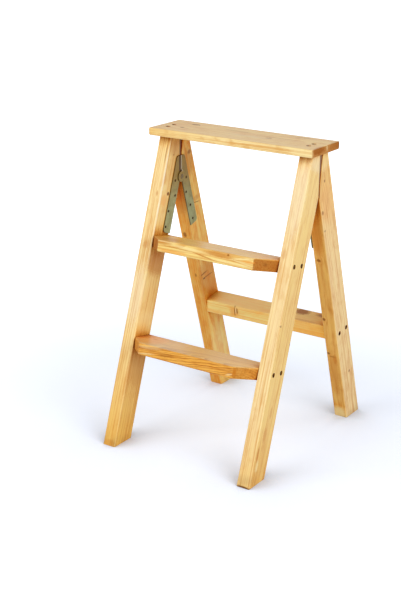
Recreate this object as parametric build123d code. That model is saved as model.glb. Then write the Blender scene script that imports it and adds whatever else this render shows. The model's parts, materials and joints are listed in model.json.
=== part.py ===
from build123d import *
import os
from math import cos, radians, sin, tan

# Wooden stepladder, open, standing on the floor. Sizes are in millimetres, angles in degrees.
# X runs along the treads, -Y is the climbing side and Z is up from the floor.
total_height = 720.0
lean_deg = 18.2  # lean of each frame from upright
pivot_drop = 102.0  # from the underside of the top board down to the hinge pivot
pivot_gap = 2.0  # from the pivot to each leg's inner edge, level with the pivot
frame_width = 403.5  # over the outer faces of the stiles, and of the rear legs

# Front stiles and rear legs, from the same planed bar
leg_depth = 62.5
leg_thick = 33.5
leg_round = 2.5  # easing of the long arrises
seam_gap = 1.2  # between stile and leg where their inner edges come together
seam_round = 8.0  # easing of the corner where the head is cut back
stile_cut_deg = 4.5  # rearward lean of the cut at the stile's head
leg_cut_deg = 6.5  # and of the cut at the rear leg's head
swing_gap = 1.0  # from the rear legs' heads to the top board

# Top board
board_thick = 18.0
board_depth = 125.0
board_overhang = 13.25  # past the outer face of each stile
board_corner = 4.0
board_round = 3.0

# Treads, higher at the nose than at the back
lower_tread_height = 258.0  # floor to the top of the nose
upper_tread_rise = 228.0
tread_tilt_deg = 10.2
tread_depth = 98.0
tread_thick = 27.5
nose_clip = 42.0  # cut off each front corner at 45 degrees
nose_corner = 3.2
tread_round = 2.8
flush_inset = 1.0  # treads and crossbar stay this far inside the edges that face each other

# Crossbar between the rear legs, higher at the back
crossbar_height = 258.0  # floor to the top of its front edge
crossbar_tilt_deg = 9.5
crossbar_depth = 58.5
crossbar_thick = 34.5
crossbar_round = 2.8

# Hinge leaves, two strips of sheet steel on a rivet; the rear leaf's eye is pressed up over the front one's
leaf_thick = 2.5
leaf_width = 28.0
leaf_tread_gap = 3.5  # from the front leaf's end to the upper tread
leaf_corner = 8.0
tab_height = 50.0  # of the stop tabs above the pivot
stop_gap = 1.0  # between the stop tabs in the open ladder
eye_radius = 13.0
eye_relief = 0.3  # the front eye is this thin on the wood side, to run clear of the rear leg
eye_clear = 0.4  # around the front eye, inside the pressed-up rear eye
lift_gap = 0.3  # between the two eyes

# Hinge rivet
rivet_radius = 3.0
rivet_head_radius = 5.6
rivet_head_height = 2.2
rivet_tail_radius = 4.6
rivet_play = 0.1  # under the head
running_fit = 0.05  # radial, rear leaf on the rivet
seat_fit = 0.02  # radial, rivet in the front leaf and screws in their holes

# Screws, slotted and countersunk
frame_screw_head = 5.4
frame_screw_shank = 2.5
frame_screw_length = 55.0
frame_screw_sink = 2.0  # head below the wood
tread_screw_pitch = 33.5
tread_screw_drop = 9.5  # below the tread's top
crossbar_screw_pitch = 34.0
board_screw_length = 42.0
board_screw_pitch = 24.0
leaf_screw_head = 3.3
leaf_screw_shank = 1.7
leaf_screw_length = 16.0
leaf_screw_first = 13.0  # from the pivot down to the first screw
leaf_screw_margin = 13.5  # from the last screw to the leaf's end
leaf_screw_rows = (0.0, 0.31, 0.665, 1.0)  # share of the way from the first screw to the last
front_screw_across = (0.64, 0.27, 0.82, 0.82)  # share of the leaf's width, from the leg's inner edge
rear_screw_across = (0.62, 0.22, 0.46, 0.43)
drill_lead = 2.5  # each hole is cut from this far above its screw's head, or above the wood over it
slot_width = 1.2
slot_depth = 0.9
slot_turn_deg = 38.0  # each slot is left at another angle

# Values worked out from the sizes above
front = -1
rear = 1
lean = radians(lean_deg)
tread_tilt = radians(tread_tilt_deg)
crossbar_tilt = radians(crossbar_tilt_deg)
outer_half = frame_width / 2
inner_half = outer_half - leg_thick
board_base = total_height - board_thick
pivot_height = board_base - pivot_drop
seam_start = pivot_height + (pivot_gap - seam_gap / 2) / tan(lean)
stop_cut = radians((stile_cut_deg + leg_cut_deg) / 2)
edge_offset = pivot_gap * cos(lean)
eye_lift = leaf_thick + lift_gap
press_inner = eye_radius + eye_clear
press_outer = press_inner + eye_lift
press_shift = leaf_thick * tan(radians(22.5))
pivot_axis = Axis((0, 0, pivot_height), (1, 0, 0))


def inner_edge(side, height):
    """Y of the edge of a stile or rear leg that faces the other frame."""
    return side * (pivot_gap + (pivot_height - height) * tan(lean))


def outer_edge(side, height):
    return inner_edge(side, height) + side * leg_depth / cos(lean)


def along_leg(side, down, across):
    """Point (Y, Z) at a distance down the leg from the pivot and across it from its inner edge."""
    reach = edge_offset + across
    y = side * (down * sin(lean) + reach * cos(lean))
    return y, pivot_height - down * cos(lean) + reach * sin(lean)


def side_slab(outline, start, thickness):
    """Solid with an outline of (Y, Z) points, from X = start."""
    face = make_face(Polyline(*outline, close=True))
    return extrude(Plane.YZ.offset(start) * face, thickness, dir=(1, 0, 0))


def turned(outline):
    """Solid of revolution about the pivot, from points (distance off the wood, radius)."""
    points = [(inner_half - off, pivot_height + radius) for off, radius in outline]
    return revolve(Plane.XZ * make_face(Polyline(*points, close=True)), pivot_axis)


def left_of(piece):
    return mirror(piece, Plane.YZ)


def screw_form(head, shank, length, grow=0.0, sink=0.0):
    """Screw pointing down from its flat head at Z = 0, or with grow and sink the hole for it."""
    wide = head + grow
    narrow = shank + grow
    end = -length - grow
    outline = [(0, 0), (wide, 0), (narrow, shank - head), (narrow, end), (0, end)]
    form = revolve(Plane.XZ * make_face(Polyline(*outline, close=True)), Axis.Z)
    if sink:
        form += extrude(Circle(wide), sink)
    return form


def screws(head, shank, length, places, outward):
    """Group of screws with their heads at the places, facing outward."""
    form = screw_form(head, shank, length)
    form -= Box(slot_width, 3 * head, 2 * slot_depth)
    turns = [Rot(0, 0, slot_turn_deg * index) for index in range(len(places))]
    return Compound([Plane(place, z_dir=outward) * turn * form for place, turn in zip(places, turns)])


def drilled(piece, head, shank, length, sink, places, outward):
    """Piece with the holes for such a group of screws."""
    hole = screw_form(head, shank, length, seat_fit, sink + drill_lead)
    for place in places:
        piece -= Plane(place, z_dir=outward) * hole
    return piece


def frame_screws(places, outward=(1, 0, 0), length=frame_screw_length):
    return screws(frame_screw_head, frame_screw_shank, length, places, outward)


def frame_drilled(piece, places, outward=(1, 0, 0), length=frame_screw_length):
    return drilled(piece, frame_screw_head, frame_screw_shank, length, frame_screw_sink, places, outward)


def drilled_both_ends(blank, *holes):
    """Board that spans both sides: drilled at the right, mirrored, and drilled at the right again."""
    return frame_drilled(left_of(frame_drilled(blank, *holes)), *holes)


def leaf_screws(places):
    return screws(leaf_screw_head, leaf_screw_shank, leaf_screw_length, places, (-1, 0, 0))


def leaf_drilled(piece, places):
    return drilled(piece, leaf_screw_head, leaf_screw_shank, leaf_screw_length, 0, places, (-1, 0, 0))


def leg_blank(side, head_height, cut_deg):
    """Right-hand stile or rear leg, foot flat on the floor and head cut back along the seam."""
    cut_foot = side * seam_gap / 2
    cut_head = cut_foot + (head_height - seam_start) * tan(radians(cut_deg))
    outline = [
        (outer_edge(side, 0), 0),
        (inner_edge(side, 0), 0),
        (cut_foot, seam_start),
        (cut_head, head_height),
        (outer_edge(side, head_height), head_height),
    ]
    blank = side_slab(outline, inner_half, leg_thick)
    corner = blank.edges().filter_by(Axis.X).sort_by_distance((inner_half, cut_foot, seam_start))[0]
    blank = fillet(corner, seam_round)
    cheeks = blank.faces().filter_by(Axis.X).edges()
    return fillet(cheeks.filter_by_position(Axis.Z, 0, head_height, (False, False)), leg_round)


def tread_plane(nose_height):
    """Plane on a tread's top, with its origin at the middle of the nose and Y running back."""
    back_drop = tread_depth * sin(tread_tilt) + tread_thick * cos(tread_tilt)
    back_reach = tread_depth * cos(tread_tilt) - tread_thick * sin(tread_tilt)
    nose_y = inner_edge(front, nose_height - back_drop) - flush_inset - back_reach
    return Plane((0, nose_y, nose_height), x_dir=(1, 0, 0), z_dir=(0, sin(tread_tilt), cos(tread_tilt)))


def tread_blank():
    """Tread lying flat, with its front corners cut off and its long arrises eased."""
    nose = inner_half - nose_clip
    outline = Polyline(
        (-nose, 0),
        (nose, 0),
        (inner_half, nose_clip),
        (inner_half, tread_depth),
        (-inner_half, tread_depth),
        (-inner_half, nose_clip),
        close=True,
    )
    blank = extrude(make_face(outline), tread_thick, dir=(0, 0, -1))
    corners = blank.edges().filter_by(Axis.Z).group_by(Axis.Y)[0]
    blank = fillet(corners, nose_corner)
    arrises = blank.faces().filter_by(Axis.Z).edges()
    return fillet(arrises.filter_by(Axis.Y, reverse=True), tread_round)


def tread_screw_places(plane):
    """Heads of the right-hand pair, about the middle of the stile."""
    middle = tread_depth - leg_depth / 2
    spread = [middle - tread_screw_pitch / 2, middle + tread_screw_pitch / 2]
    return [plane.from_local_coords((outer_half - frame_screw_sink, y, -tread_screw_drop)) for y in spread]


def crossbar_plane():
    """Plane on the crossbar's top, with its origin at the middle of the front edge and Y running back."""
    foot_height = crossbar_height - crossbar_thick * cos(crossbar_tilt)
    front_y = inner_edge(rear, foot_height) + flush_inset - crossbar_thick * sin(crossbar_tilt)
    normal = (0, -sin(crossbar_tilt), cos(crossbar_tilt))
    return Plane((0, front_y, crossbar_height), x_dir=(1, 0, 0), z_dir=normal)


def crossbar_blank():
    blank = Box(2 * inner_half, crossbar_depth, crossbar_thick, align=(Align.CENTER, Align.MIN, Align.MAX))
    return fillet(blank.edges().filter_by(Axis.X), crossbar_round)


def crossbar_screw_places(plane):
    first = (crossbar_depth - crossbar_screw_pitch) / 2
    spread = [first, first + crossbar_screw_pitch]
    return [plane.from_local_coords((outer_half - frame_screw_sink, y, -crossbar_thick / 2)) for y in spread]


def board_blank():
    length = frame_width + 2 * board_overhang
    board = Box(length, board_depth, board_thick, align=(Align.CENTER, Align.CENTER, Align.MAX))
    board = fillet(board.edges().filter_by(Axis.Z), board_corner)
    board = fillet(board.faces().filter_by(Axis.Z).edges(), board_round)
    return Pos(0, 0, total_height) * board


def board_screw_places():
    """Heads of the right-hand pair, over the middle of the stile's head."""
    head_back = (board_base - seam_start) * tan(radians(stile_cut_deg)) - seam_gap / 2
    middle = (outer_edge(front, board_base) + head_back) / 2
    x = (inner_half + outer_half) / 2
    spread = [middle - board_screw_pitch / 2, middle + board_screw_pitch / 2]
    return [Vector(x, y, total_height - frame_screw_sink) for y in spread]


def leaf_length():
    """Length of a hinge leaf below the pivot: the front one stops just above the upper tread."""
    back = tread_plane(lower_tread_height + upper_tread_rise).from_local_coords((0, tread_depth, 0))
    return (pivot_height - back.Z) * cos(lean) - back.Y * sin(lean) - leaf_tread_gap


def leaf_outline(side):
    """Plan of a leaf: strap along the leg's inner edge, round eye on the pivot and stop tab above."""
    tab_top = pivot_height + tab_height
    tab_down = (edge_offset + leaf_width) * tan(lean) - tab_height / cos(lean)
    tab_outer = along_leg(side, tab_down, leaf_width)
    strap_end = along_leg(side, leaf_length(), leaf_width)
    stop_shift = side * stop_gap / 2
    strap = make_face(
        Polyline(
            along_leg(side, leaf_length(), 0),
            strap_end,
            tab_outer,
            ((tab_top - seam_start) * tan(stop_cut) + stop_shift, tab_top),
            (stop_shift, seam_start),
            (inner_edge(side, pivot_height), pivot_height),
            close=True,
        )
    )
    rounded = [strap.vertices().sort_by_distance((*corner, 0))[0] for corner in (tab_outer, strap_end)]
    strap = fillet(rounded, leaf_corner)
    return strap + Pos(0, pivot_height) * Circle(eye_radius)


def leaf_screw_places(side):
    """Heads of the right-hand leaf's screws, flush with the strap."""
    spread = leaf_length() - leaf_screw_margin - leaf_screw_first
    places = []
    for row, across in zip(leaf_screw_rows, front_screw_across if side == front else rear_screw_across):
        y, z = along_leg(side, leaf_screw_first + spread * row, leaf_width * across)
        places.append(Vector(inner_half - leaf_thick, y, z))
    return places


def leaf_slab(side, height):
    face = Plane.YZ.offset(inner_half) * leaf_outline(side)
    return extrude(face, height, dir=(-1, 0, 0))


def front_leaf():
    """Flat leaf whose eye is thinned on the wood side and countersunk there for the rivet's tail."""
    leaf = leaf_slab(front, leaf_thick)
    leaf -= turned([(0, 0), (0, eye_radius), (eye_relief, eye_radius), (eye_relief, 0)])
    hole = rivet_radius + seat_fit
    tail = rivet_tail_radius + seat_fit
    tail_end = eye_relief + rivet_tail_radius - rivet_radius
    bore = [(0, 0), (0, tail), (eye_relief, tail), (tail_end, hole), (leaf_thick, hole), (leaf_thick, 0)]
    leaf -= turned(bore)
    return leaf_drilled(leaf, leaf_screw_places(front))


def rear_leaf():
    """Leaf pressed up in a round step, so that its eye passes over the front leaf's."""
    reach = leaf_length() + leaf_width
    top = eye_lift + leaf_thick
    sheet = turned([
        (eye_lift, 0),
        (eye_lift, press_inner),
        (0, press_outer),
        (0, reach),
        (leaf_thick, reach),
        (leaf_thick, press_outer + press_shift),
        (top, press_inner + press_shift),
        (top, 0),
    ])
    leaf = leaf_slab(rear, top) & sheet
    hole = rivet_radius + running_fit
    leaf -= turned([(0, 0), (0, hole), (top, hole), (top, 0)])
    return leaf_drilled(leaf, leaf_screw_places(rear))


def rivet():
    """Rivet with a flush countersunk tail against the wood and a low domed head in the open."""
    tail_end = eye_relief + rivet_tail_radius - rivet_radius
    head_base = eye_lift + leaf_thick + rivet_play
    shank = turned([
        (eye_relief, 0),
        (eye_relief, rivet_tail_radius),
        (tail_end, rivet_radius),
        (head_base, rivet_radius),
        (head_base, 0),
    ])
    rim = (inner_half - head_base, pivot_height + rivet_head_radius)
    crown = (inner_half - head_base - rivet_head_height, pivot_height)
    centre = (inner_half - head_base, pivot_height)
    dome = Polyline(crown, centre, rim) + TangentArc(crown, rim, tangent=(0, 1))
    return shank + revolve(Plane.XZ * make_face(dome), pivot_axis)


def build_nodes():
    """Every piece by its node's name; the right-hand ones are made first and mirrored to the left."""
    treads = {
        "lower_tread": tread_plane(lower_tread_height),
        "upper_tread": tread_plane(lower_tread_height + upper_tread_rise),
    }
    crossbar_places = crossbar_screw_places(crossbar_plane())
    board_holes = (board_screw_places(), (0, 0, 1), board_screw_length)
    stile = leaf_drilled(leg_blank(front, board_base, stile_cut_deg), leaf_screw_places(front))
    stile = frame_drilled(stile, *board_holes)
    leg = leaf_drilled(leg_blank(rear, board_base - swing_gap, leg_cut_deg), leaf_screw_places(rear))

    single = {
        "rear_crossbar": drilled_both_ends(crossbar_plane() * crossbar_blank(), crossbar_places),
        "top_board": drilled_both_ends(board_blank(), *board_holes),
    }
    paired = {
        "rear_leg": frame_drilled(leg, crossbar_places),
        "crossbar_screws": frame_screws(crossbar_places),
        "top_board_screws": frame_screws(*board_holes),
        "hinge_front_leaf": front_leaf(),
        "hinge_rear_leaf": rear_leaf(),
        "hinge_rivet": rivet(),
        "hinge_front_leaf_screws": leaf_screws(leaf_screw_places(front)),
        "hinge_rear_leaf_screws": leaf_screws(leaf_screw_places(rear)),
    }
    for name, plane in treads.items():
        places = tread_screw_places(plane)
        stile = frame_drilled(stile, places)
        single[name] = drilled_both_ends(plane * tread_blank(), places)
        paired[name + "_screws"] = frame_screws(places)
    paired["front_stile"] = stile

    nodes = dict(single)
    for name, piece in paired.items():
        nodes[name + "_right"] = piece
        nodes[name + "_left"] = left_of(piece)
    return nodes


os.makedirs("parts", exist_ok=True)
for node, piece in build_nodes().items():
    export_step(piece, f"parts/{node}.step")
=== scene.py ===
import json
import math
import bpy
from mathutils import Euler, Matrix, Vector


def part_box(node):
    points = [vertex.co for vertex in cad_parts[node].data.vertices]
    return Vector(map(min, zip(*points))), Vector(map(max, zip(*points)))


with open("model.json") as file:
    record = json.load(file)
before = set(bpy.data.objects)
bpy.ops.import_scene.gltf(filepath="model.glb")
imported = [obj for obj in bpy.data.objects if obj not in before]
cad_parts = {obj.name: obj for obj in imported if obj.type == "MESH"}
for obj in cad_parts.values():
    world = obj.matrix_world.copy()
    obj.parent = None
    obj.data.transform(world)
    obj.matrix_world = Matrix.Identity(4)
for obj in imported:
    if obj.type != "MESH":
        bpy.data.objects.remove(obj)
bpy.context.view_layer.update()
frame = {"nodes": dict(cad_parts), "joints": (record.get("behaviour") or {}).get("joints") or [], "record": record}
nodes = frame["nodes"]
print("stepladder: loaded", len(nodes), "pieces")


# Node helpers
white = (1.0, 1.0, 1.0, 1.0)
noiseMean = 0.5
millimetre = 0.001


def addNode(tree, kind, sockets=None, **settings):
    node = tree.nodes.new(kind)
    for name, value in settings.items():
        setattr(node, name, value)
    for socket, value in (sockets or {}).items():
        if isinstance(value, bpy.types.NodeSocket):
            tree.links.new(value, node.inputs[socket])
        else:
            node.inputs[socket].default_value = value
    return node


def calc(tree, operation, *values):
    return addNode(tree, "ShaderNodeMath", dict(enumerate(values)), operation=operation).outputs[0]


def vectorCalc(tree, operation, *values):
    outputs = addNode(tree, "ShaderNodeVectorMath", dict(enumerate(values)), operation=operation).outputs
    return outputs["Value"] if operation in ("LENGTH", "DOT_PRODUCT") else outputs["Vector"]


def separate(tree, vector):
    return addNode(tree, "ShaderNodeSeparateXYZ", {0: vector}).outputs


def between(tree, value, low, high, start=0.0, end=1.0):  # smooth step from start at low to end at high
    sockets = {0: value, 1: low, 2: high, 3: start, 4: end}
    return addNode(tree, "ShaderNodeMapRange", sockets, interpolation_type="SMOOTHSTEP").outputs[0]


def noiseOver(tree, point, stretch, shift, detail=2.0, output=0):
    placed = addNode(tree, "ShaderNodeMapping", {0: point, 1: shift, 3: stretch}).outputs[0]
    sockets = {"Vector": placed, "Scale": 1.0, "Detail": detail, "Roughness": 0.55}
    return addNode(tree, "ShaderNodeTexNoise", sockets).outputs[output]


def mixColour(tree, share, first, second, blend="MIX"):
    sockets = {0: share, 6: first, 7: second}  # 6 and 7 are the node's two colours
    return addNode(tree, "ShaderNodeMix", sockets, data_type="RGBA", blend_type=blend).outputs[2]


def ramp(tree, value, stops):
    node = addNode(tree, "ShaderNodeValToRGB", {0: value})
    elements = node.color_ramp.elements
    while len(elements) < len(stops):
        elements.new(0.5)
    for element, (place, shade) in zip(elements, stops):
        element.position = place
        element.color = (shade, shade, shade, 1.0)
    return node.outputs[0]


def openAround(tree, reach):  # 1 in the open, less where other surfaces are within reach, in metres
    return addNode(tree, "ShaderNodeAmbientOcclusion", {"Distance": reach}, samples=8).outputs["AO"]


def relief(tree, height, strength, depth):  # depth in metres
    sockets = {"Height": height, "Strength": strength, "Distance": depth}
    return addNode(tree, "ShaderNodeBump", sockets).outputs[0]


def surface(tree, sockets):
    shader = addNode(tree, "ShaderNodeBsdfPrincipled", sockets)
    addNode(tree, "ShaderNodeOutputMaterial", {0: shader.outputs[0]})


def tone(red, green, blue):  # a colour as seen on a screen, 0 to 255, in linear light
    def linear(value):
        value /= 255
        return value / 12.92 if value <= 0.04045 else ((value + 0.055) / 1.055) ** 2.4
    return (linear(red), linear(green), linear(blue), 1.0)


def newMaterial(name):
    material = bpy.data.materials.new(name)
    material.use_nodes = True
    material.node_tree.nodes.clear()
    return material, material.node_tree


def dress(names, material):
    for name in names:
        nodes[name].data.materials.clear()
        nodes[name].data.materials.append(material)


# Lacquered pine: its colours
pine = {
    "pale": tone(255, 232, 166),
    "golden": tone(243, 216, 152),
    "orange": tone(246, 160, 64),
    "amber": tone(200, 116, 26),
    # The next colour is partly bare wood and partly painted highlight on the front stiles' faces and the left
    # one's arris.
    "bareAndHighlight": tone(255, 250, 226),
    "wornAndSheen": tone(232, 205, 166),  # lacquer worn off by feet and hands, and partly a painted sheen on upward faces
    "endGrain": tone(180, 112, 4),
    "knotHeart": tone(158, 84, 14),
    "knotRim": tone(108, 48, 0),
    # The next colour marks grime on the top board, the darkening near each foot and a painted shadow line along
    # the right front foot's bottom edge.
    "grimeAndShade": tone(112, 68, 28),
    # The next three colours are painted shade: in corners and gaps, in the slit between stile and rear leg, and
    # along the slit's edges.
    "creviceShade": tone(150, 98, 46),
    "seam": tone(140, 50, 0),
    "seamLip": tone(116, 48, 0),
}

# Its figure: noises with their stretch along, across and through a board, per millimetre, the one of the
# seed's shifts that they use, and their detail
noises = {
    "wobble": ((0.25, 0.25, 0.25), 0, 2.0),
    "rub": ((0.02, 0.05, 0.05), 0, 2.0),
    "blotch": ((0.03, 0.06, 0.06), 1, 3.0),
    "streak": ((0.008, 0.15, 0.15), 1, 3.0),
    "broad": ((0.006, 0.03, 0.03), 2, 3.0),
    "line": ((0.004, 0.4, 0.4), 2, 2.0),
    "fibre": ((0.03, 1.3, 1.3), 2, 4.0),
}
seedShifts = ((7.3, 3.1, 5.7), (3.1, 5.7, 7.3), (5.7, 7.3, 3.1))
veins = [  # a noise, the board's share of it, where it turns pale and where it turns to latewood
    ("streak", "streaks", (0.5, 0.3), (0.5, 0.7)),
    ("blotch", "blotches", (0.5, 0.3), (0.5, 0.7)),
    ("line", "streaks", (0.48, 0.35), (0.54, 0.66)),
]
rings = {
    "waveAcross": 0.022,  # per millimetre
    "unevenAcross": 0.09,  # per millimetre
    "rise": [(0.0, 0.0), (0.25, 0.05), (0.6, 0.6), (0.8, 1.0), (0.92, 0.9), (1.0, 0.0)],  # from ring to ring
    "lostOnEnds": 0.7,
    "fibre": (0.35, 0.7, 0.0, 0.2),  # how much latewood shows in the fibre
}
marks = {  # edges are shares of a mark's size, where it starts to fade and where it ends
    "wobble": 0.7,
    "stainEdge": (0.5, 1.2),
    "knotEdge": (0.55, 1.15),
    "knotBend": (0.4, 3.2),  # rings flow round a knot
    "knotPush": 0.9,
    "heartFibre": (0.35, 0.65),
}
facing = {  # how squarely a face has to look along the grain, across it, upwards or into the slit
    "end": (0.3, 0.8),
    "edge": (0.4, 0.8),
    "top": (0.6, 0.95),
    "slit": (0.5, 0.8),
}

# Its wear, and the shade, sheen and highlights painted with it: the range of what drives each and, where given,
# how much of it there is at the range's ends
wearAndPaintedLight = {
    "wornAndSheen": (0.25, 0.75),
    "leastWornAndSheen": 0.6,  # of the board's own share
    "arris": (0.4, 3.0),  # millimetres
    "rubbedAndLit": (0.35, 0.65, 0.3, 1.0),
    # The next three entries set the painted shade in corners and gaps: how far it looks, how much it deepens the
    # colour and how much it darkens it.
    "creviceReach": 0.05,  # metres
    "bounces": (0.97, 0.3, 1.0, 2.4),  # painted shade: a corner's colour deepens as if its light had bounced off more wood
    "creviceShade": (0.8, 0.2, 0.0, 0.85),
    "floor": (80.0, 30.0),  # millimetres up the leg, between which the floor stops counting as a corner
    "darkerNearFloor": (0.0, 26.0, 0.3, 0.0),  # millimetres up the leg
    "nearFloorPatches": (0.3, 0.7),
}
# The slit between stile and rear leg, painted dark as shade inside and along its edges.
seam = {
    "start": (634.0, 640.0),  # millimetres up the leg, above which stile and rear leg lie face to face
    "middle": 0.0006,  # metres behind the hinge's axis
    "lip": (0.0026, 0.0044, 0.9, 0.0),  # metres from there: painted shade along the slit's edges
    "closed": (0.6, 0.3),  # painted shade in the slit, gone once the frame folds and the slit opens
}
lacquer = {
    "rough": 0.3, "roughFibre": 0.14, "roughWorn": 0.12, "roughEnds": 0.45,
    "roughCorner": (0.9, 0.4, 0.3, 1.0),  # nothing polishes a corner
    "fibreHeight": 0.5, "ringHeight": 0.35, "reliefStrength": 0.3, "reliefDepth": 0.0004,
    "refraction": 1.5, "specular": 0.15, "sheen": (1.0, 0.78, 0.5, 1.0),
}
lean = math.radians(frame["joints"][0]["range_deg"][1]) / 2
treadTilt = math.radians(10.2)
crossbarTilt = math.radians(9.5)


def boardFrame(board):  # the board's middle, or the middle of its foot, and its three directions
    if "foot" in board:
        mount = next(mount for mount in frame["record"]["mounts"] if mount["name"] == board["foot"])
        side = 1 if mount["pos_m"][1] > 0 else -1
        grain = Vector((0, -side * math.sin(lean), math.cos(lean)))
        across = Vector((0, -side * math.cos(lean), -math.sin(lean)))  # towards the other frame
        origin = Vector(mount["pos_m"])
    else:
        low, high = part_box(board["node"])
        grain = Vector((1, 0, 0))
        across = Vector((0, math.cos(board["tilt"]), math.sin(board["tilt"])))
        origin = (low + high) / 2
    return origin, Matrix((grain, across, grain.cross(across))).transposed()


def boardSpace(tree, board):  # where a point lies in its board, how its face looks, and the noises there
    origin, turn = boardFrame(board)
    coordinates = addNode(tree, "ShaderNodeTexCoord").outputs
    placing = {0: coordinates["Object"], 1: origin, 2: turn.to_euler(), 3: [millimetre] * 3}
    point = addNode(tree, "ShaderNodeMapping", placing, vector_type="TEXTURE").outputs[0]  # millimetres
    shifts = [[board["seed"] * step for step in steps] for steps in seedShifts]
    space = {name: noiseOver(tree, point, stretch, shifts[shift], detail)
             for name, (stretch, shift, detail) in noises.items()}
    space["wobble"] = calc(tree, "SUBTRACT", space["wobble"], noiseMean)
    space["point"] = point
    space["along"], space["across"], space["through"] = separate(tree, point)
    space["behind"] = separate(tree, coordinates["Object"])[1]  # metres behind the hinge's axis
    stretch = (board["ripple"], rings["waveAcross"], rings["waveAcross"])
    wave = noiseOver(tree, point, stretch, shifts[0], output=1)
    space["wave"] = vectorCalc(tree, "SUBTRACT", wave, [noiseMean] * 3)
    space["faces"] = [vectorCalc(tree, "DOT_PRODUCT", coordinates["Normal"], axis) for axis in turn.col]
    space["ends"] = between(tree, calc(tree, "ABSOLUTE", space["faces"][0]), *facing["end"])
    space["open"] = openAround(tree, wearAndPaintedLight["creviceReach"])
    if "foot" in board:
        onFloor = between(tree, space["along"], *wearAndPaintedLight["floor"])
        space["open"] = calc(tree, "MAXIMUM", space["open"], onFloor)
    return space


def fromMark(tree, space, place, size, slant=0.0, rise=0.0):  # 0 in the middle of a mark, 1 at its edge
    offset = vectorCalc(tree, "SUBTRACT", space["point"], place)
    rows = ((1 / size[0], -slant / size[0], 0), (0, 1 / size[1], 0), (-rise / size[2], 0, 1 / size[2]))
    parts = [vectorCalc(tree, "DOT_PRODUCT", offset, row) for row in rows]
    offset = addNode(tree, "ShaderNodeCombineXYZ", dict(enumerate(parts))).outputs[0]
    return calc(tree, "MULTIPLY_ADD", space["wobble"], marks["wobble"], vectorCalc(tree, "LENGTH", offset))


def growthRings(tree, board, space):  # how much latewood, and how much knot
    waves = separate(tree, space["wave"])
    bow, arch = board["bow"]
    bent = calc(tree, "SUBTRACT", space["along"], bow)
    bend = calc(tree, "MULTIPLY", calc(tree, "MULTIPLY", bent, bent), arch)
    places = (calc(tree, "SUBTRACT", space["across"], bend), space["through"])
    squares = []
    for place, pith, drift, sway in zip(places, board["pith"], board["drift"], waves):
        off = calc(tree, "SUBTRACT", place, calc(tree, "MULTIPLY_ADD", space["along"], drift, pith))
        off = calc(tree, "MULTIPLY_ADD", sway, board["wave"], off)
        squares.append(calc(tree, "MULTIPLY", off, off))
    radius = calc(tree, "SQRT", calc(tree, "ADD", *squares))

    knotted = 0.0
    for place, size, depth in board["knots"]:
        reach = fromMark(tree, space, place, size)
        push = between(tree, reach, *marks["knotBend"], 1.0, 0.0)
        radius = calc(tree, "MULTIPLY_ADD", push, min(size) * marks["knotPush"], radius)
        knotted = calc(tree, "MAXIMUM", knotted, between(tree, reach, *marks["knotEdge"], depth, 0.0))

    scaled = calc(tree, "MULTIPLY_ADD", radius, rings["unevenAcross"], board["seed"])
    sockets = {"W": scaled, "Scale": 1.0, "Detail": 1.0}
    uneven = addNode(tree, "ShaderNodeTexNoise", sockets, noise_dimensions="1D").outputs[0]
    start = calc(tree, "MULTIPLY_ADD", uneven, board["uneven"], board["phase"])
    count = calc(tree, "MULTIPLY_ADD", radius, 1 / board["ringWidth"], start)
    number = calc(tree, "ADD", calc(tree, "FLOOR", count), board["seed"])
    strength = addNode(tree, "ShaderNodeTexWhiteNoise", {"W": number}, noise_dimensions="1D").outputs[0]
    latewood = calc(tree, "MULTIPLY", ramp(tree, calc(tree, "FRACT", count), rings["rise"]),
                    between(tree, strength, 0.0, 1.0, board["weakest"], 1.0))
    kept = calc(tree, "MULTIPLY_ADD", space["ends"], -rings["lostOnEnds"], 1.0)
    return calc(tree, "MULTIPLY", latewood, kept), knotted


def figureColour(tree, board, space, latewood):
    early = tone(*board["early"])
    late = tone(*board["late"])
    colour = mixColour(tree, calc(tree, "MULTIPLY", latewood, board["contrast"]), early, late)
    for noise, share, toPale, toLate in veins:
        for reach, shade in ((toPale, pine["pale"]), (toLate, late)):
            colour = mixColour(tree, between(tree, space[noise], *reach, 0.0, board[share]), colour, shade)
    colour = mixColour(tree, between(tree, space["fibre"], *rings["fibre"]), colour, late)
    if "fadeAndLight" in board:  # golden at one end and paler at the other, partly as painted light
        fadeAndLight = mixColour(tree, between(tree, space["along"], *board["fadeAndLight"]), pine["golden"], white)
        colour = mixColour(tree, 1.0, colour, fadeAndLight, "MULTIPLY")
    # Painted light, partly: the edge faces and the flat faces of a board each get their own tint, set to how lit
    # that side looks.
    edgeOn = between(tree, calc(tree, "ABSOLUTE", space["faces"][1]), *facing["edge"])
    faceShading = mixColour(tree, edgeOn, tone(*board["flatShadingTint"]), tone(*board["edgeShadingTint"]))
    colour = mixColour(tree, 1.0, colour, faceShading, "MULTIPLY")

    # end grain drinks the lacquer and turns dark; upward faces turn pale and grey, partly trodden wear and partly
    # a painted sheen
    soaked = calc(tree, "MULTIPLY", space["ends"], board["endShare"])
    colour = mixColour(tree, soaked, colour, pine["endGrain"], "MULTIPLY")
    if "wornAndSheen" in board:
        least = wearAndPaintedLight["leastWornAndSheen"] * board["wornAndSheen"]
        steps = between(tree, space["broad"], *wearAndPaintedLight["wornAndSheen"], least, board["wornAndSheen"])
        steps = calc(tree, "MULTIPLY", between(tree, space["faces"][2], *facing["top"]), steps)
        colour = mixColour(tree, steps, colour, pine["wornAndSheen"])
    return colour


def markColour(tree, board, space, colour, knotted):
    heartFibre = between(tree, space["fibre"], *marks["heartFibre"])
    heart = mixColour(tree, heartFibre, pine["knotHeart"], pine["knotRim"])
    colour = mixColour(tree, knotted, colour, heart)
    for place, size, depth, shade, *leaning in board["stains"]:
        reach = fromMark(tree, space, place, size, *leaning)
        colour = mixColour(tree, between(tree, reach, *marks["stainEdge"], depth, 0.0), colour, pine[shade])
    return colour


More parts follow.
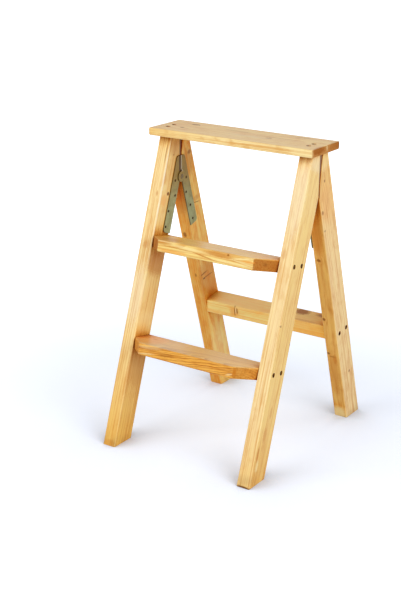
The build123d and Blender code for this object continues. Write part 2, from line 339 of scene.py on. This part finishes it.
def arrisWearAndHighlight(tree, board, space):  # how much the nearest long arris is rubbed, pale on most boards and partly a painted highlight
    gaps = [calc(tree, "SUBTRACT", half, calc(tree, "ABSOLUTE", space[place]))
            for half, place in zip(board["half"], ("across", "through"))]
    wornAndLit = between(tree, calc(tree, "MAXIMUM", *gaps), *wearAndPaintedLight["arris"], board["rubbedAndLit"], 0.0)
    return calc(tree, "MULTIPLY", wornAndLit, between(tree, space["rub"], *wearAndPaintedLight["rubbedAndLit"]))


# Painted shade: near other surfaces the colour deepens as if lit by light that bounced off more wood, and darkens.
def paintedCornerShade(tree, space, colour):
    bounces = between(tree, space["open"], *wearAndPaintedLight["bounces"])
    colour = addNode(tree, "ShaderNodeGamma", {0: colour, 1: bounces}).outputs[0]
    deepShade = between(tree, space["open"], *wearAndPaintedLight["creviceShade"])
    return mixColour(tree, deepShade, colour, pine["creviceShade"], "MULTIPLY")


def legColour(tree, space, colour):  # darker in patches near the floor, and painted shade in the slit between stile and rear leg and along its edges
    patches = between(tree, space["rub"], *wearAndPaintedLight["nearFloorPatches"])
    darkerNearFloor = calc(tree, "MULTIPLY", between(tree, space["along"], *wearAndPaintedLight["darkerNearFloor"]), patches)
    colour = mixColour(tree, darkerNearFloor, colour, pine["grimeAndShade"])
    # Painted shade inside the slit while it stays closed, and along its edges below.
    high = between(tree, space["along"], *seam["start"])
    inSlit = between(tree, space["faces"][1], *facing["slit"])
    closed = calc(tree, "MULTIPLY", high, between(tree, space["open"], *seam["closed"]))
    colour = mixColour(tree, calc(tree, "MULTIPLY", inSlit, closed), colour, pine["seam"])
    aside = calc(tree, "ABSOLUTE", calc(tree, "SUBTRACT", space["behind"], seam["middle"]))
    lip = calc(tree, "MULTIPLY", between(tree, aside, *seam["lip"]), calc(tree, "SUBTRACT", 1.0, inSlit))
    return mixColour(tree, calc(tree, "MULTIPLY", high, lip), colour, pine["seamLip"])


def lacqueredPine(settings):
    board = {**plainBoard, **settings}
    material, tree = newMaterial(board["node"] + "_pine")
    space = boardSpace(tree, board)
    latewood, knotted = growthRings(tree, board, space)
    wornAndLit = arrisWearAndHighlight(tree, board, space)
    colour = figureColour(tree, board, space, latewood)
    colour = markColour(tree, board, space, colour, knotted)
    colour = mixColour(tree, wornAndLit, colour, pine[board["arris"]])
    colour = paintedCornerShade(tree, space, colour)
    if "foot" in board:
        colour = legColour(tree, space, colour)

    ringHeight = calc(tree, "MULTIPLY", latewood, lacquer["ringHeight"])
    height = calc(tree, "MULTIPLY_ADD", space["fibre"], lacquer["fibreHeight"], ringHeight)
    rough = calc(tree, "MULTIPLY_ADD", wornAndLit, lacquer["roughWorn"], lacquer["rough"])
    rough = calc(tree, "MULTIPLY_ADD", space["fibre"], lacquer["roughFibre"], rough)
    rough = calc(tree, "MULTIPLY_ADD", space["ends"], lacquer["roughEnds"], rough)
    rough = calc(tree, "MAXIMUM", rough, between(tree, space["open"], *lacquer["roughCorner"]))
    surface(tree, {
        "Base Color": colour, "Roughness": rough,
        "Normal": relief(tree, height, lacquer["reliefStrength"], lacquer["reliefDepth"]),
        "IOR": lacquer["refraction"],
        "Specular IOR Level": lacquer["specular"], "Specular Tint": lacquer["sheen"],
    })
    dress([board["node"]], material)


# Boards, in millimetres along, across and through each one. Legs are measured from the middle of their foot,
# other boards from their own middle.
# half: half the width and half the thickness. The golden fade: where it starts to pale, partly as painted light,
# and where it has.
# pith: where it lies across and through. drift: how far it strays for each millimetre along.
# bow: where the trunk bent, and how much. knots: place, size and depth.
# stains: place, size, depth and colour and, where they lean, a slant across and a rise through.
plainBoard = {
    "ripple": 0.005, "bow": (0.0, 0.0), "uneven": 1.2, "phase": 0.0, "weakest": 0.4,
    "endShare": 0.95, "knots": [], "stains": [],
}
legHalf = (31.25, 16.75)
treadHalf = (49.0, 13.75)
frontStileLeft = {
    "node": "front_stile_left", "foot": "foot_front_left", "half": legHalf, "seed": 1.0, "fadeAndLight": (-60, 380),
    "pith": (-20.0, 60.0), "drift": (0.004, -0.012), "ringWidth": 7.0, "wave": 6.0,
    "early": (254, 227, 168), "late": (222, 158, 72), "contrast": 0.5, "streaks": 0.6, "blotches": 0.3,
    "edgeShadingTint": (255, 254, 250), "flatShadingTint": (255, 252, 234), "arris": "pale", "rubbedAndLit": 0.4,
    "knots": [((595, -3, -17), (4, 3, 6), 0.95)],
    # On the inner face, the amber stains at 185 and 432 are painted shade under the treads and the pale ones at
    # 288 and 528 painted light above them; the bare ones paint highlights on the front face and along its arris
    # with the inner face.
    "stains": [
        ((592, -31, -5), (7, 4, 3), 0.5, "amber"), ((471, -31, 0), (10, 4, 9), 0.35, "amber"),
        ((686, -31, -10), (26, 4, 1.6), 0.6, "knotHeart"), ((185, 5, -17), (60, 60, 8), 0.4, "amber"),
        ((432, 8, -17), (34, 50, 8), 0.6, "amber"), ((-4, -31, 0), (10, 6, 18), 0.35, "amber"),
        ((627, -27, -17), (20, 7, 6), 0.3, "amber"), ((608, -22, -17), (9, 10, 6), 0.45, "pale"),
        ((578, -16, -17), (16, 12, 6), 0.4, "orange"), ((702, -14, -17), (20, 18, 6), 0.3, "amber"),
        ((595.5, -3, -17), (5, 4.4, 6), 0.95, "knotRim"), ((687, -9, -17), (2.4, 2, 4), 0.7, "knotHeart"),
        ((350, -31, 0), (80, 8, 22), 0.2, "bareAndHighlight"), ((320, 0, -17), (80, 50, 8), 0.12, "orange"),
        ((590, -31, -17), (170, 3.2, 3.2), 0.6, "bareAndHighlight"), ((288, 0, -17), (30, 46, 8), 0.4, "pale"),
        ((528, 0, -17), (26, 40, 8), 0.4, "pale"),
    ],
}
frontStileRight = {
    "node": "front_stile_right", "foot": "foot_front_right", "half": legHalf, "seed": 2.0,
    "fadeAndLight": (-250, 250), "pith": (-12.0, 66.0), "drift": (0.006, -0.02), "ringWidth": 7.5, "wave": 6.0,
    "early": (254, 229, 174), "late": (222, 162, 82), "contrast": 0.45, "streaks": 0.55, "blotches": 0.3,
    "edgeShadingTint": (255, 253, 250), "flatShadingTint": (250, 238, 203), "arris": "pale", "rubbedAndLit": 0.4,
    "knots": [((354, -29, -16), (3, 3, 3), 0.6), ((315, 29, -16), (3, 3, 3), 0.8)],
    "stains": [
        ((68, -23, -17), (20, 4, 8), 0.7, "amber"), ((510, -31, 8), (14, 4, 6), 0.3, "amber"),
        ((41, -17, -17), (15, 6, 8), 0.6, "pale"), ((161, 2, -17), (16, 5, 8), 0.35, "amber"),
        # The grime stain at the foot's bottom edge, next, is a painted shadow line where the foot meets the floor.
        ((112, -8, -17), (18, 8, 8), 0.35, "amber"), ((-10.5, -31, 0), (5, 8, 22), 0.95, "grimeAndShade"),
        ((640, -31, 0), (110, 8, 22), 0.2, "bareAndHighlight"), ((670, 0, -17), (80, 50, 8), 0.2, "pale"),
        ((718, 0, -17), (24, 50, 8), 0.25, "bareAndHighlight"),
    ],
}
rearLegLeft = {
    "node": "rear_leg_left", "foot": "foot_rear_left", "half": legHalf, "seed": 3.0,
    "pith": (6.0, -58.0), "drift": (-0.01, 0.02), "ringWidth": 6.0, "wave": 8.0, "ripple": 0.012,
    "early": (255, 214, 130), "late": (240, 148, 42), "contrast": 0.6, "streaks": 0.45, "blotches": 0.6,
    "edgeShadingTint": (238, 212, 158), "flatShadingTint": (255, 250, 214), "arris": "pale", "rubbedAndLit": 0.25,
    "knots": [((356, 31, 4), (6, 5, 4), 0.5), ((474, 31, -5), (8, 6, 6), 0.75)],
    "stains": [
        # The first amber stain is partly a painted shadow of the upper tread on the inner face.
        ((330, 0, 17), (72, 44, 12), 0.55, "amber"),
        ((354, 15, 17), (2.4, 17, 6), 0.85, "knotHeart", 0.07),
        ((339, 0, 17), (2.2, 24, 6), 0.75, "knotHeart", 0.16),
        ((340, 17, 17), (2.4, 5, 6), 0.9, "knotRim", 0.16), ((110, 0, 17), (80, 60, 10), 0.3, "pale"),
        ((660, -8, 17), (40, 16, 6), 0.5, "amber"), ((680, -19, 17), (6, 8, 6), 0.75, "knotHeart"),
        ((558, -10, 17), (8, 15, 6), 0.4, "amber"),
        ((547.5, -9.5, 17), (1.8, 14, 6), 0.7, "knotHeart", 0.3),
        ((570, 31, 0), (42, 6, 20), 0.55, "amber"),
    ],
}
rearLegRight = {
    "node": "rear_leg_right", "foot": "foot_rear_right", "half": legHalf, "seed": 4.0, "fadeAndLight": (860, 430),
    "pith": (-6.0, 2.0), "drift": (0.008, 0.03), "bow": (0, 0.00004), "ringWidth": 6.0, "wave": 9.0,
    "ripple": 0.012,
    "early": (254, 225, 166), "late": (210, 142, 60), "contrast": 0.5, "streaks": 0.4, "blotches": 0.4,
    "edgeShadingTint": (244, 216, 156), "flatShadingTint": (252, 248, 240), "arris": "pale", "rubbedAndLit": 0.35,
    "knots": [
        ((669, 0, 17), (4, 3, 5), 0.8), ((130, -8, 17), (4, 4, 5), 0.8), ((474, 31, -5), (5, 6, 6), 0.85),
        ((306, 31, -12), (5, 6, 5), 0.85), ((600, 24, 17), (6, 4, 6), 0.9), ((553, 24, 17), (3, 3, 5), 0.7),
    ],
    "stains": [
        ((150, 31, -2), (80, 8, 14), 0.45, "amber"), ((190, 31, 5), (16, 6, 6), 0.6, "amber"),
        ((205, 31, -11), (4, 5, 4), 0.75, "knotRim"), ((197, 31, -2), (3, 5, 10), 0.5, "knotHeart"),
        ((18, 31, -2), (24, 8, 20), 0.7, "golden"), ((540, 31, -2), (60, 8, 16), 0.6, "amber"),
        ((615, 2, 17), (56, 44, 8), 0.16, "orange"), ((716, -10, 17), (26, 44, 8), 0.5, "pale"),
    ],
}
topBoard = {
    "node": "top_board", "tilt": 0.0, "half": (62.5, 9.0), "seed": 5.0, "fadeAndLight": (-500, 60),
    "pith": (10.0, -46.0), "drift": (0.01, 0.03), "ringWidth": 6.0, "wave": 7.0,
    "early": (255, 228, 160), "late": (220, 152, 64), "contrast": 0.5, "streaks": 0.55, "blotches": 0.5,
    "edgeShadingTint": (255, 255, 255), "flatShadingTint": (252, 244, 226), "arris": "pale", "rubbedAndLit": 0.3,
    "wornAndSheen": 0.4, "endShare": 0.75,
    "knots": [
        ((-144, 29, 9), (14, 7, 8), 0.8), ((-151, -18, 9), (7, 4, 6), 0.8), ((73, -5, 9), (9, 5, 6), 0.5),
    ],
    "stains": [
        ((215, -34, 3), (9, 29, 9), 0.75, "knotHeart"), ((215, 37, 2), (9, 27, 10), 0.5, "knotHeart"),
        ((215, 60, 2), (6, 7, 12), 0.5, "grimeAndShade"), ((140, 62, 9), (34, 4, 3), 0.4, "grimeAndShade"),
        ((215, 3, 5), (9, 4, 9), 0.4, "pale"), ((190, -62, 0), (34, 6, 10), 0.4, "pale"),
        ((133, 44, 9), (32, 5, 6), 0.3, "grimeAndShade"), ((-27, 22, 9), (44, 5, 6), 0.3, "knotHeart"),
        ((78, 6, 9), (60, 3, 6), 0.3, "knotHeart"), ((30, -14, 9), (70, 9, 6), 0.35, "wornAndSheen"),
    ],
}
upperTread = {
    "node": "upper_tread", "tilt": -treadTilt, "half": treadHalf, "seed": 6.0,
    "pith": (-28.0, 8.0), "drift": (0.0, -0.035), "bow": (46, -0.0003), "ringWidth": 4.5, "wave": 4.0,
    "phase": -0.22, "uneven": 0.3, "weakest": 0.8,
    "early": (255, 232, 152), "late": (216, 134, 40), "contrast": 0.6, "streaks": 0.4, "blotches": 0.25,
    "edgeShadingTint": (255, 252, 234), "flatShadingTint": (255, 244, 202), "arris": "amber", "rubbedAndLit": 0.3,
    "wornAndSheen": 0.2,
    "stains": [
        ((-112, -49, 10), (26, 6, 7), 0.6, "amber"), ((-85, -49, -8), (44, 6, 4), 0.5, "orange"),
        ((-45, -49, 6), (55, 6, 3.2), 0.5, "pale", 0, -0.03),
        ((-75, -49, 2), (45, 6, 1.6), 0.6, "amber", 0, -0.02),
        ((0, -49, -4), (34, 6, 2), 0.7, "amber", 0, -0.16),
        ((34, -49, 7), (38, 6, 6), 0.6, "amber", 0, -0.02),
        ((75, -49, -6.5), (60, 6, 3), 0.45, "pale", 0, -0.03),
        ((116, -49, 3.5), (20, 6, 3), 0.6, "orange"),
        ((100, -49, 7.5), (32, 6, 1.8), 0.7, "pale", 0, 0.17),
        ((100, -49, -1.5), (32, 6, 1.8), 0.5, "pale", 0, -0.11),
        # The knotHeart mark at -150 darkens the left facet, end grain and painted shade; the amber at -125 on the
        # top is painted shade beside the stile.
        ((62, -49, 10), (3, 4, 2.5), 0.8, "knotHeart"), ((-150, -38, 0), (20, 18, 20), 0.45, "knotHeart"),
        ((-125, -20, 14), (46, 34, 5), 0.5, "amber"), ((-108, -49, 12), (36, 4, 1.8), 0.55, "pale"),
        ((150, -36, 2), (9, 12, 6), 0.4, "knotRim"), ((135, -2, 14), (42, 40, 5), 0.3, "orange"),
    ],
}
lowerTread = {
    "node": "lower_tread", "tilt": -treadTilt, "half": treadHalf, "seed": 7.0,
    "pith": (-46.0, -58.0), "drift": (0.02, 0.13), "ringWidth": 5.2, "wave": 12.0, "ripple": 0.008,
    "uneven": 1.6, "weakest": 0.65,
    "early": (255, 218, 128), "late": (172, 88, 10), "contrast": 0.95, "streaks": 0.3, "blotches": 0.3,
    "edgeShadingTint": (252, 218, 158), "flatShadingTint": (255, 246, 216), "arris": "amber", "rubbedAndLit": 0.3,
    "wornAndSheen": 0.45, "endShare": 0.45,
    "stains": [
        ((-125, 15, 14), (8, 4, 6), 0.6, "knotRim"), ((-150, -38, 0), (20, 18, 20), 0.3, "amber"),
        ((-108, -49, -8), (26, 6, 2), 0.5, "pale", 0, 0.14),
        ((-95, -49, 9), (34, 6, 5), 0.3, "pale", 0, 0.1),
        ((-50, -49, 0), (24, 6, 5), 0.45, "knotHeart", 0, 0.12),
        ((118, -49, -6), (9, 6, 3), 0.45, "pale", 0, 0.3),
        ((131, -49, 0), (5, 8, 14), 0.7, "amber"), ((-130, 0, 14), (46, 50, 5), 0.55, "orange"),
        ((50, 14, 14), (170, 60, 6), 0.28, "orange"), ((50, 14, 14), (170, 60, 6), 0.28, "pale"),
    ],
}
rearCrossbar = {
    "node": "rear_crossbar", "tilt": crossbarTilt, "half": (29.25, 17.25), "seed": 8.0, "fadeAndLight": (260, 0),
    "pith": (20.0, -55.0), "drift": (0.01, 0.02), "ringWidth": 6.0, "wave": 6.0,
    "early": (255, 232, 154), "late": (252, 170, 66), "contrast": 0.45, "streaks": 0.35, "blotches": 0.35,
    "edgeShadingTint": (255, 254, 238), "flatShadingTint": (255, 246, 220), "arris": "pale", "rubbedAndLit": 0.3,
    "wornAndSheen": 0.3,
    "stains": [
        ((-86, -29, 2), (15, 5, 14), 0.6, "orange"), ((-85, -29, 2), (1.8, 4, 15), 0.85, "knotHeart"),
        ((-82, -29, 5), (1.5, 4, 10), 0.8, "pale"), ((-78, -29, 4), (2.2, 4, 9), 0.9, "knotHeart"),
        # The dark marks at 84 and 150 on the top's right part are partly brown stain and partly painted shadow of
        # the right stile and rear leg.
        ((-83, -29, 17), (3, 3, 3), 0.7, "knotHeart"), ((84, 15, 17), (22, 16, 6), 0.85, "knotHeart"),
        ((150, 17, 17), (30, 12, 6), 0.8, "knotHeart"), ((110, -24, 17), (40, 6, 6), 0.3, "knotHeart"),
        ((120, -29, 0), (60, 6, 24), 0.3, "orange"),
        ((-80, 0, 17), (90, 44, 6), 0.2, "pale"), ((-80, 0, 17), (90, 44, 6), 0.2, "orange"),
    ],
}
for board in (frontStileLeft, frontStileRight, rearLegLeft, rearLegRight,
              topBoard, upperTread, lowerTread, rearCrossbar):
    lacqueredPine(board)
print("stepladder: boards lacquered")


# Hinge leaves: olive enamel over steel, browned towards the rivet
enamel = {
    "green": tone(166, 169, 121), "brown": tone(158, 126, 60), "shade": tone(134, 124, 80),
    "rust": tone(72, 40, 4), "bareAndHighlight": tone(216, 202, 168),
    "browned": (0.62, 0.52),  # metres up, where the brown starts to fade and where it ends
    "mottleGrain": 60.0, "speckGrain": 420.0,  # per metre
    "mottleShift": (3.0, 1.0, 2.0), "speckShift": (1.0, 5.0, 2.0),
    "mottled": (0.4, 0.7, 0.0, 0.6), "specked": (0.66, 0.74, 0.0, 0.7),
    "cutEdge": (0.6, 0.3, 0.0, 0.5),
    "onTab": (0.611, 0.613, 0.0, 0.85),  # metres up, where the stop tabs start
    "tabWearAndLight": (-0.008, 0.0, 0.004),  # metres, over the stop tabs: rust and painted shade from, bare steel and painted highlight from, enamel from
    "tabWearAndLightBlur": 0.0005,
    # The next line sets the rust and painted shade in the hinge's tight corners.
    "creviceReach": 0.004, "creviceShade": (0.8, 0.4, 0.0, 0.7),
    "reliefStrength": 0.2, "reliefDepth": 0.0002,
    "rough": (0.2, 0.8, 0.38, 0.58), "specular": 0.2, "sheen": (1.0, 0.85, 0.6, 1.0),
}


def hingeEnamel():
    material, tree = newMaterial("hinge_enamel")
    coordinates = addNode(tree, "ShaderNodeTexCoord").outputs
    point = coordinates["Object"]
    depth, height = separate(tree, point)[1:]
    mottle = noiseOver(tree, point, [enamel["mottleGrain"]] * 3, enamel["mottleShift"], detail=3.0)
    specks = noiseOver(tree, point, [enamel["speckGrain"]] * 3, enamel["speckShift"])
    colour = mixColour(tree, between(tree, height, *enamel["browned"]), enamel["brown"], enamel["green"])
    colour = mixColour(tree, between(tree, mottle, *enamel["mottled"]), colour, enamel["shade"])
    colour = mixColour(tree, between(tree, specks, *enamel["specked"]), colour, enamel["rust"])

    # cut edges darken to the rust colour; over the stop tabs, rust and painted shade mark the gap, and bare steel
    # and a painted highlight the rear tab's edge
    flat = calc(tree, "ABSOLUTE", separate(tree, coordinates["Normal"])[0])
    colour = mixColour(tree, between(tree, flat, *enamel["cutEdge"]), colour, enamel["rust"])
    rustAndShade, bareAndHighlight, kept = enamel["tabWearAndLight"]
    blur = enamel["tabWearAndLightBlur"]
    onTab = between(tree, height, *enamel["onTab"])
    for shade, low, high in (("bareAndHighlight", bareAndHighlight, kept), ("rust", rustAndShade, bareAndHighlight)):
        band = calc(tree, "MULTIPLY", between(tree, depth, low - blur, low + blur),
                    between(tree, depth, high + blur, high - blur))
        colour = mixColour(tree, calc(tree, "MULTIPLY", onTab, band), colour, enamel[shade])
    # Rust and painted shade where the enamel meets other surfaces.
    creviceShade = between(tree, openAround(tree, enamel["creviceReach"]), *enamel["creviceShade"])
    colour = mixColour(tree, creviceShade, colour, enamel["rust"])
    surface(tree, {
        "Base Color": colour, "Roughness": between(tree, mottle, *enamel["rough"]),
        "Normal": relief(tree, specks, enamel["reliefStrength"], enamel["reliefDepth"]),
        "Specular IOR Level": enamel["specular"], "Specular Tint": enamel["sheen"],
    })
    dress([name for name in nodes if name.endswith(("leaf_left", "leaf_right"))], material)


hingeEnamel()


# Rivets and screws; the later finish holds where two name the same piece
rivetZinc = {
    "name": "rivet_zinc", "pieces": "rivet", "metallic": 0.6, "rough": 0.4,
    "bright": tone(128, 110, 80), "dull": tone(88, 68, 44),
}
screwBronze = {  # oxidised brown
    "name": "screw_bronze", "pieces": "screws", "metallic": 0.0, "rough": 0.6,
    "bright": tone(78, 46, 16), "dull": tone(48, 26, 6),
}
screwLacquered = {  # filled up with lacquer
    "name": "screw_lacquered", "pieces": "top_board_screws", "metallic": 0.0, "rough": 0.5,
    "bright": tone(190, 146, 94), "dull": tone(146, 104, 60),
}
tarnish = {
    "grain": 350.0,  # per metre
    "shift": (2.0, 4.0, 1.0),
    "dulled": (0.35, 0.7),
    "roughRange": (0.2, 0.8), "addedRough": 0.2,
    "reliefStrength": 0.25, "reliefDepth": 0.0002, "specular": 0.15,
}


def turnedSteel(finish):
    material, tree = newMaterial(finish["name"])
    point = addNode(tree, "ShaderNodeTexCoord").outputs["Object"]
    stain = noiseOver(tree, point, [tarnish["grain"]] * 3, tarnish["shift"], detail=3.0)
    colour = mixColour(tree, between(tree, stain, *tarnish["dulled"]), finish["bright"], finish["dull"])
    roughest = finish["rough"] + tarnish["addedRough"]
    surface(tree, {
        "Base Color": colour,
        "Roughness": between(tree, stain, *tarnish["roughRange"], finish["rough"], roughest),
        "Normal": relief(tree, stain, tarnish["reliefStrength"], tarnish["reliefDepth"]),
        "Metallic": finish["metallic"], "Specular IOR Level": tarnish["specular"],
    })
    dress([name for name in nodes if finish["pieces"] in name], material)


for finish in (rivetZinc, screwBronze, screwLacquered):
    turnedSteel(finish)
print("stepladder: hinges, rivets and screws finished")


# Floor, light and camera
studio = {
    "floorColour": (0.74, 0.80, 0.94, 1.0),
    "floorSize": 40.0,
    "floorDrop": 0.0004,
    "floorLift": (0.4, 1.0),  # glow seen near the ladder and far away, where the floor turns white
    "liftColour": (0.96, 0.98, 1.0, 1.0),
    "liftReach": (0.35, 1.9),  # metres from the ladder's middle
    "contactShadowReach": 0.2,  # metres from a foot, where the floor's glow dims as a painted contact shadow
    "contactShadow": (0.6, 1.0, 0.2, 1.0),
    "ambientColour": (0.95, 0.97, 1.0, 1.0),
    "ambient": 0.46,
}
softboxes = [
    {"name": "key", "place": (-2.2, -3.8, 2.7), "size": 3.6, "watts": 104.0, "colour": (1.0, 0.99, 0.97)},
    {"name": "fill", "place": (4.4, -1.7, 2.4), "size": 3.6, "watts": 128.0, "colour": (1.0, 0.99, 0.97)},
]
lightTarget = Vector((0.0, -0.05, 0.36))


def seenDirectly(tree):  # 1 for the camera and for mirror and glass rays
    path = addNode(tree, "ShaderNodeLightPath").outputs
    clear = calc(tree, "MAXIMUM", path["Is Glossy Ray"], path["Is Transmission Ray"])
    return calc(tree, "MAXIMUM", path["Is Camera Ray"], clear)


def buildFloor():
    half = studio["floorSize"] / 2
    mesh = bpy.data.meshes.new("studio_floor")
    corners = [(-half, -half), (half, -half), (half, half), (-half, half)]
    mesh.from_pydata([(x, y, -studio["floorDrop"]) for x, y in corners], [], [(0, 1, 2, 3)])
    floor = bpy.data.objects.new("studio_floor", mesh)
    bpy.context.scene.collection.objects.link(floor)
    material, tree = newMaterial("studio_floor")
    away = vectorCalc(tree, "LENGTH", addNode(tree, "ShaderNodeTexCoord").outputs["Object"])
    lift = between(tree, away, *studio["liftReach"], *studio["floorLift"])
    # Painted contact shadow: the glow dims near the feet.
    contactShadow = between(tree, openAround(tree, studio["contactShadowReach"]), *studio["contactShadow"])
    lift = calc(tree, "MULTIPLY", lift, contactShadow)
    diffuse = addNode(tree, "ShaderNodeBsdfDiffuse", {"Color": studio["floorColour"]})
    strength = calc(tree, "MULTIPLY", seenDirectly(tree), lift)
    glow = addNode(tree, "ShaderNodeEmission", {"Color": studio["liftColour"], "Strength": strength})
    both = addNode(tree, "ShaderNodeAddShader", {0: diffuse.outputs[0], 1: glow.outputs[0]})
    addNode(tree, "ShaderNodeOutputMaterial", {0: both.outputs[0]})
    mesh.materials.append(material)


def buildWorld():
    world = bpy.data.worlds.new("studio")
    bpy.context.scene.world = world
    world.use_nodes = True
    tree = world.node_tree
    tree.nodes.clear()
    shades = [seenDirectly(tree)]
    for colour, strength in ((studio["ambientColour"], studio["ambient"]), (white, 1.0)):
        background = addNode(tree, "ShaderNodeBackground", {"Color": colour, "Strength": strength})
        shades.append(background.outputs[0])
    mix = addNode(tree, "ShaderNodeMixShader", dict(enumerate(shades)))
    addNode(tree, "ShaderNodeOutputWorld", {0: mix.outputs[0]})


def buildSoftboxes():
    for box in softboxes:
        lamp = bpy.data.lights.new(box["name"], "AREA")
        lamp.shape = "SQUARE"
        lamp.size = box["size"]
        lamp.energy = box["watts"]
        lamp.color = box["colour"]
        light = bpy.data.objects.new(box["name"], lamp)
        bpy.context.scene.collection.objects.link(light)
        light.location = box["place"]
        light.rotation_euler = (lightTarget - light.location).to_track_quat("-Z", "Y").to_euler()


photoFrame = {
    "azimuth": 33.396, "elevation": 18.957, "roll": 0.697,  # degrees
    "distance": 2.7066, "target": (0.00245, -0.165, 0.3701),  # metres
    "focalPixels": 1210.3, "longSide": 601, "sensor": 36.0,
}


def buildCamera():
    data = bpy.data.cameras.new("photo_camera")
    data.sensor_width = photoFrame["sensor"]
    data.lens = photoFrame["focalPixels"] * photoFrame["sensor"] / photoFrame["longSide"]
    camera = bpy.data.objects.new("photo_camera", data)
    bpy.context.scene.collection.objects.link(camera)
    tip = math.radians(90 - photoFrame["elevation"])
    turn = Euler((tip, 0, math.radians(photoFrame["azimuth"])), "XYZ").to_matrix()
    turn = turn @ Matrix.Rotation(math.radians(photoFrame["roll"]), 3, "Z")
    place = Vector(photoFrame["target"]) + turn.col[2] * photoFrame["distance"]
    camera.matrix_world = Matrix.Translation(place) @ turn.to_4x4()
    bpy.context.scene.camera = camera


buildFloor()
buildWorld()
buildSoftboxes()
buildCamera()
bpy.context.scene.view_settings.view_transform = "Standard"
print("stepladder: studio lit")
